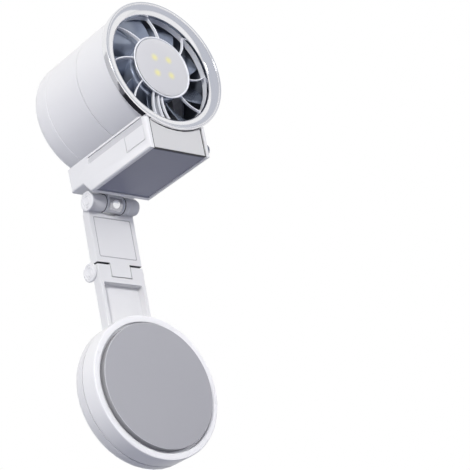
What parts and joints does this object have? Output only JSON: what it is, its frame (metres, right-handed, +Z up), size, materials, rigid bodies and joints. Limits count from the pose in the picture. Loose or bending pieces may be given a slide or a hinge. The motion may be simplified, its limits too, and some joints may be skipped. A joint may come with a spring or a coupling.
{
  "type": "portable fan",
  "caption": "Cylindrical turbo hand fan with a lamp in its hub, on a folding two-link arm with a round magnetic pad.",
  "frame": {"origin": "centre of the magnetic pad's front face", "axes": "+Z up along the unfolded arm; -Y is the way the pad and the fan face; +X is to the right as seen from the front"},
  "size_m": [0.066, 0.0646, 0.1989],
  "materials": {
    "white_shell": "satin gloss",
    "arm_grey": "satin",
    "plate_grey": "satin",
    "slate": "matte",
    "pad_rubber": "matte",
    "chrome": "polished",
    "grille_white": "glossy",
    "impeller_blue": "glossy",
    "lens": "frosted",
    "led": "satin",
    "board": "satin",
    "steel": "machined",
    "magnet": "plated",
    "battery": "satin film",
    "copper": "satin"
  },
  "bodies": {
    "disc": {"magnetic_pad": "pad_rubber", "disc_front_shell": "white_shell", "disc_rear_shell": "white_shell", "magnet_ring": "magnet", "steel_shield": "steel", "disc_hinge_pin": "steel"},
    "lower_arm": {"lower_link": "arm_grey", "mid_hinge_pin": "steel", "mid_hinge_cap_left": "white_shell", "mid_hinge_cap_right": "white_shell"},
    "upper_arm": {"upper_link": "arm_grey", "upper_link_cover": "arm_grey", "head_hinge_pin": "steel", "head_hinge_cap_left": "white_shell", "head_hinge_cap_right": "white_shell", "head_hinge_washer_left": "steel", "head_hinge_washer_right": "steel"},
    "fan_head": {"barrel_front": "white_shell", "barrel_rear": "white_shell", "front_bezel": "chrome", "front_grille": "grille_white", "rear_grille": "white_shell", "lamp_board": "board", "led_1": "led", "led_2": "led", "led_3": "led", "led_4": "led", "lamp_lens": "lens", "motor_mount": "grille_white", "motor_stator": "copper", "motor_bearing_1": "copper", "motor_bearing_2": "copper", "box_shell": "white_shell", "front_plate": "plate_grey", "bottom_panel": "slate", "battery_cell": "battery", "control_board": "board", "power_switch": "slate", "charging_inlet": "steel", "tension_screw": "chrome"},
    "rotor": {"impeller": "impeller_blue", "rotor_magnet": "magnet", "motor_shaft": "steel"},
    "button": {"power_button": "slate"},
    "inlet_door": {"inlet_cover": "white_shell"}
  },
  "joints": [
    {"name": "disc_hinge", "type": "hinge", "parent": "disc", "child": "lower_arm", "pos_m": [0, 0.01415, 0.0265], "axis": [1, 0, 0], "range_deg": [-90, 0]},
    {"name": "mid_hinge", "type": "hinge", "parent": "lower_arm", "child": "upper_arm", "pos_m": [0, 0.0172, 0.0585], "axis": [-1, 0, 0], "range_deg": [0, 180]},
    {"name": "head_tilt", "type": "hinge", "parent": "upper_arm", "child": "fan_head", "pos_m": [0, 0.0104, 0.0905], "axis": [1, 0, 0], "range_deg": [-45, 90]},
    {"name": "impeller_spin", "type": "hinge", "parent": "fan_head", "child": "rotor", "pos_m": [0, 0.0104, 0.1341], "axis": [0, -1, 0], "continuous": true},
    {"name": "power_button_press", "type": "slide", "parent": "fan_head", "child": "button", "axis": [-1, 0, 0], "range_m": [0, 0.0005], "stiffness_N_per_m": 1500},
    {"name": "inlet_cover_hinge", "type": "hinge", "parent": "fan_head", "child": "inlet_door", "pos_m": [-0.01615, -0.0326, 0.09675], "axis": [0, -1, 0], "range_deg": [0, 90]}
  ]
}
